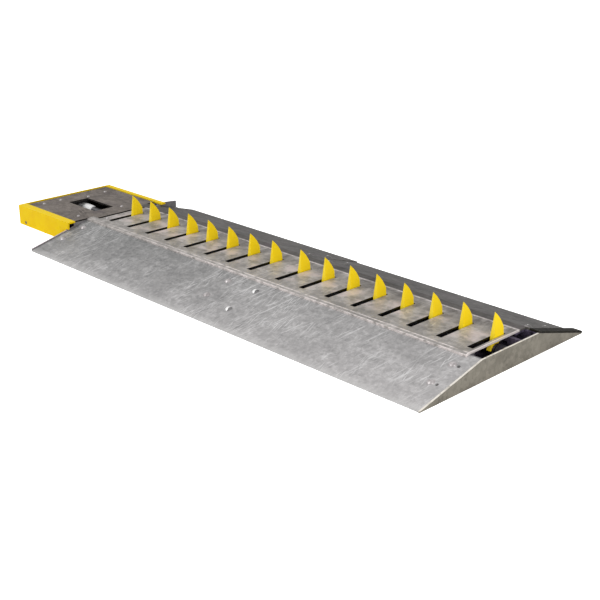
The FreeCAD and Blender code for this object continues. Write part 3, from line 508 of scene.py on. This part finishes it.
# Finish of each material slot
finishes = {
    "deck_galvanised": deck_zinc(),
    "ramp_galvanised": front_zinc(),
    "dark_galvanised": dull_zinc(
        "dark_galvanised", (0.05, 0.046, 0.043), (0.135, 0.124, 0.116), rough=(0.62, 0.48), metal=0.15,
    ),
    "frame_galvanised": dull_zinc(
        "frame_galvanised", (0.10, 0.095, 0.11), (0.24, 0.23, 0.24), rough=(0.6, 0.46), metal=0.3,
    ),
    # painted shade: near-black finish stands for the shade inside the strip
    "dark_paint": matt("dark_paint", (0.007, 0.006, 0.004), (0.022, 0.019, 0.013), rough=0.7),
    "spike_paint": yellow_paint(
        "spike_paint", (1.0, 0.76, 0.05), (0.98, 0.70, 0.02), shaded_side=(1.0, 0.71, 0.006), chip_share=0.3,
    ),
    "yellow_box_paint": yellow_paint(
        "yellow_box_paint", (0.84, 0.60, 0.0), (0.78, 0.50, 0.0), shaded_side=(0.9, 0.6, 0.0), chip_share=0.4,
    ),
    "zinc_fastener": fastener_zinc(),
    # painted highlight: near-white colour stands for the lit crescent on the shiny drive hub
    "bright_zinc": plain_metal(
        "bright_zinc", (0.90, 0.90, 0.90), (1.0, 1.0, 1.0), rough=(0.45, 0.3), metal=0.0,
    ),
    "shaft_steel": plain_metal(
        "shaft_steel", (0.12, 0.12, 0.13), (0.24, 0.24, 0.25), rough=(0.5, 0.3), metal=0.7,
    ),
    "spring_steel": plain_metal(
        "spring_steel", (0.10, 0.10, 0.11), (0.20, 0.20, 0.21), rough=(0.45, 0.3), metal=0.8,
    ),
    "bush_bronze": plain_metal(
        "bush_bronze", (0.38, 0.25, 0.11), (0.52, 0.37, 0.18), rough=(0.45, 0.3), metal=0.9,
    ),
    # painted shade: near-black hubs and dark navy interior stand for the shade inside the strip
    "dark_hub_steel": matt("dark_hub_steel", (0.012, 0.011, 0.016), (0.04, 0.036, 0.05), rough=0.5),
    "dark_interior": matt(
        "dark_interior", (0.012, 0.010, 0.020), (0.11, 0.09, 0.14), rough=0.55, scale=42.0,
    ),
    "black_rubber": matt("black_rubber", (0.012, 0.012, 0.012), (0.03, 0.03, 0.03), rough=0.75),
}

# Nodes whose look differs from the rest of their slot
special_finishes = {
    "right_end_plate": plate_zinc(
        "end_plate_zinc", (0.138, 0.124, 0.098), (0.31, 0.283, 0.23), rough=(0.60, 0.48), metal=0.15,
        top_highlight=(0.93, 0.88, 0.80), top_highlight_share=0.9,
    ),
    "left_end_plate": plate_zinc(
        "left_plate_zinc", (0.14, 0.135, 0.14), (0.27, 0.26, 0.27), rough=(0.58, 0.46), metal=0.2,
        top_highlight=(0.62, 0.50, 0.56), top_highlight_share=0.8,
    ),
    # cover with painted shade on its cut faces
    "box_cover": dull_zinc(
        "cover_zinc", (0.075, 0.062, 0.053), (0.28, 0.236, 0.205), rough=(0.58, 0.44), metal=0.2,
        streaks=(20.0, 12.0, 8.0), stain=(0.07, 0.05, 0.062), cut=cover_gap_shade,
    ),
    # painted shade: near-black box floor and cover supports stand for the shade inside the box
    "box_floor": matt("box_floor_shade", (0.003, 0.003, 0.004), (0.012, 0.011, 0.012), rough=0.8),
    "box_cover_supports": matt(
        "cover_support_shade", (0.003, 0.003, 0.004), (0.014, 0.012, 0.013), rough=0.8,
    ),
}


def dress_frame():
    """Gives every CAD node the finish of its material slot, or its own."""
    slots = {part["node"]: part["material_slot"] for part in frame["record"]["subparts"]}
    for name, obj in frame["nodes"].items():
        finish = special_finishes.get(name, finishes[slots[name]])
        for slot in obj.material_slots:
            slot.material = finish
        if not obj.material_slots:
            obj.data.materials.append(finish)


def add_floor():
    """Pale floor that reads white to the camera and keeps the shadow."""
    bpy.ops.mesh.primitive_plane_add(size=floor_size, location=(0.0, 0.0, 0.0))
    floor = bpy.context.object
    floor.name = "studio_floor"
    material, shader = new_material("studio_floor")
    shader.inputs["Base Color"].default_value = floor_grey + (1.0,)
    shader.inputs["Roughness"].default_value = floor_roughness
    path = material.node_tree.nodes.new("ShaderNodeLightPath")
    shader.inputs["Emission Color"].default_value = (1.0, 1.0, 1.0, 1.0)
    material.node_tree.links.new(path.outputs["Is Camera Ray"], shader.inputs["Emission Strength"])
    floor.data.materials.append(material)


def add_world():
    """Even white light from all round."""
    world = bpy.data.worlds.new("studio_world")
    bpy.context.scene.world = world
    world.use_nodes = True
    background = world.node_tree.nodes["Background"]
    background.inputs["Color"].default_value = (1.0, 1.0, 1.0, 1.0)
    background.inputs["Strength"].default_value = world_strength


def add_area_light(name, place, target, size, power):
    """Square light aimed at a target."""
    light = bpy.data.lights.new(name, "AREA")
    light.size = size
    light.energy = power
    obj = bpy.data.objects.new(name, light)
    obj.location = place
    aim = Vector(target) - Vector(place)
    obj.rotation_euler = aim.to_track_quat("-Z", "Y").to_euler()
    bpy.context.collection.objects.link(obj)


def add_camera():
    """Camera that sees the strip as in the photograph."""
    camera = bpy.data.cameras.new("photo_camera")
    camera.lens = camera_lens
    camera.sensor_width = camera_sensor
    obj = bpy.data.objects.new("photo_camera", camera)
    obj.location = camera_place
    obj.rotation_euler = (math.radians(camera_pitch), 0.0, math.radians(camera_turn))
    bpy.context.collection.objects.link(obj)
    bpy.context.scene.camera = obj


dress_frame()
add_floor()
add_world()
for area_light in area_lights:
    add_area_light(*area_light)
add_camera()
bpy.context.scene.view_settings.view_transform = "Standard"
